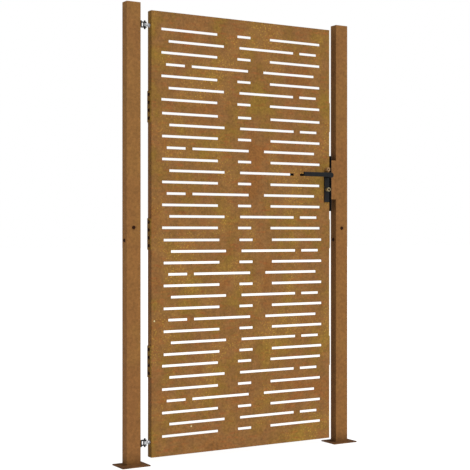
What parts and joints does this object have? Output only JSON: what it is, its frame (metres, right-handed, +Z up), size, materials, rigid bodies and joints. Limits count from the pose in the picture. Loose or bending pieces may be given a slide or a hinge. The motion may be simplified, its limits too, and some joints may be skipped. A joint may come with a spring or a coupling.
{
  "type": "garden gate",
  "caption": "Slotted weathering-steel garden gate leaf on eye-bolt hinges between two base-plated posts, with a lever latch and a cylinder lock.",
  "frame": {"origin": "on the ground, midway between the two posts and midway through their depth", "axes": "+X from the hinge post to the latch post, +Y from the front face to the back, +Z up"},
  "size_m": [1.11, 0.111, 1.8],
  "materials": {
    "corten_front": "weathering steel with a mottled orange-brown rust patina, matt",
    "corten_post": "weathering steel with an even brown rust patina, matt",
    "corten_plate": "weathering steel, yellower patina, matt",
    "black_coating": "charcoal powder coat, satin",
    "black_screws": "blackened steel, satin",
    "brass": "plain brass, lightly dulled",
    "bronze": "dull bronze finish",
    "hinge_steel": "dark coated steel",
    "zinc_steel": "zinc plated steel"
  },
  "bodies": {
    "posts": {"closing_stop": "black_coating", "hinge_pin_clips": "hinge_steel", "hinge_post_base_plate": "corten_post", "hinge_post_cap": "corten_post", "hinge_post_lower": "corten_post", "hinge_post_sleeve": "corten_post", "hinge_post_upper": "corten_post", "keeper_box": "corten_post", "latch_post_base_plate": "corten_post", "latch_post_cap": "corten_post", "latch_post_lower": "corten_post", "latch_post_sleeve": "corten_post", "latch_post_upper": "corten_post", "lower_hinge_bracket": "hinge_steel", "lower_hinge_pin": "hinge_steel", "post_joint_screws": "black_screws", "strike_plate": "black_coating", "strike_screws": "black_screws", "upper_hinge_bracket": "hinge_steel", "upper_hinge_pin": "hinge_steel"},
    "leaf": {"back_cylinder_body": "brass", "back_escutcheon": "black_coating", "escutcheon_screws": "black_screws", "forend_screws": "black_screws", "front_cylinder_body": "brass", "front_escutcheon": "black_coating", "hinge_inner_nuts": "zinc_steel", "hinge_outer_nuts": "zinc_steel", "hinge_side_plate_lower": "corten_plate", "hinge_side_plate_middle": "corten_plate", "hinge_side_plate_upper": "corten_plate", "hinge_washers": "zinc_steel", "latch_side_plate_lower": "corten_plate", "latch_side_plate_middle": "corten_plate", "latch_side_plate_upper": "corten_plate", "latch_spring": "zinc_steel", "lock_case": "zinc_steel", "lock_fixing_bolt": "bronze", "lock_fixing_nut": "bronze", "lock_forend": "zinc_steel", "lower_eye_bolt": "zinc_steel", "panel_bottom": "corten_front", "panel_lower": "corten_front", "panel_top": "corten_front", "panel_upper": "corten_front", "side_plate_nuts": "zinc_steel", "side_plate_screws": "black_screws", "upper_eye_bolt": "zinc_steel"},
    "handles": {"front_lever": "black_coating", "back_lever": "black_coating", "spindle": "zinc_steel", "lock_follower": "zinc_steel", "lever_grub_screws": "black_screws"},
    "latch": {"latch_bolt": "zinc_steel"},
    "key_plug": {"front_cylinder_plug": "black_screws", "back_cylinder_plug": "black_screws", "cylinder_cam": "brass"},
    "deadbolt": {"deadbolt": "zinc_steel"}
  },
  "joints": [
    {"name": "leaf_swing", "type": "hinge", "parent": "posts", "child": "leaf", "pos_m": [-0.438, 0, 0.9], "axis": [0, 0, -1], "range_deg": [0, 105]},
    {"name": "handle_turn", "type": "hinge", "parent": "leaf", "child": "handles", "pos_m": [0.417, 0, 1.1505], "axis": [0, -1, 0], "range_deg": [0, 45], "stiffness_Nm_per_rad": 1.2, "springref_deg": -20.05},
    {"name": "latch_slide", "type": "slide", "parent": "leaf", "child": "latch", "axis": [-1, 0, 0], "range_m": [0, 0.01], "deforming": ["latch_spring"]},
    {"name": "key_turn", "type": "hinge", "parent": "leaf", "child": "key_plug", "pos_m": [0.417, 0, 1.09], "axis": [0, 1, 0], "range_deg": [0, 360]},
    {"name": "deadbolt_slide", "type": "slide", "parent": "leaf", "child": "deadbolt", "axis": [1, 0, 0], "range_m": [0, 0.012]}
  ],
  "couplings": [
    {"joint": "latch_slide", "follows": "handle_turn", "m_per_rad": 0.012732},
    {"joint": "key_turn", "follows": "deadbolt_slide", "rad_per_m": 523.6}
  ]
}
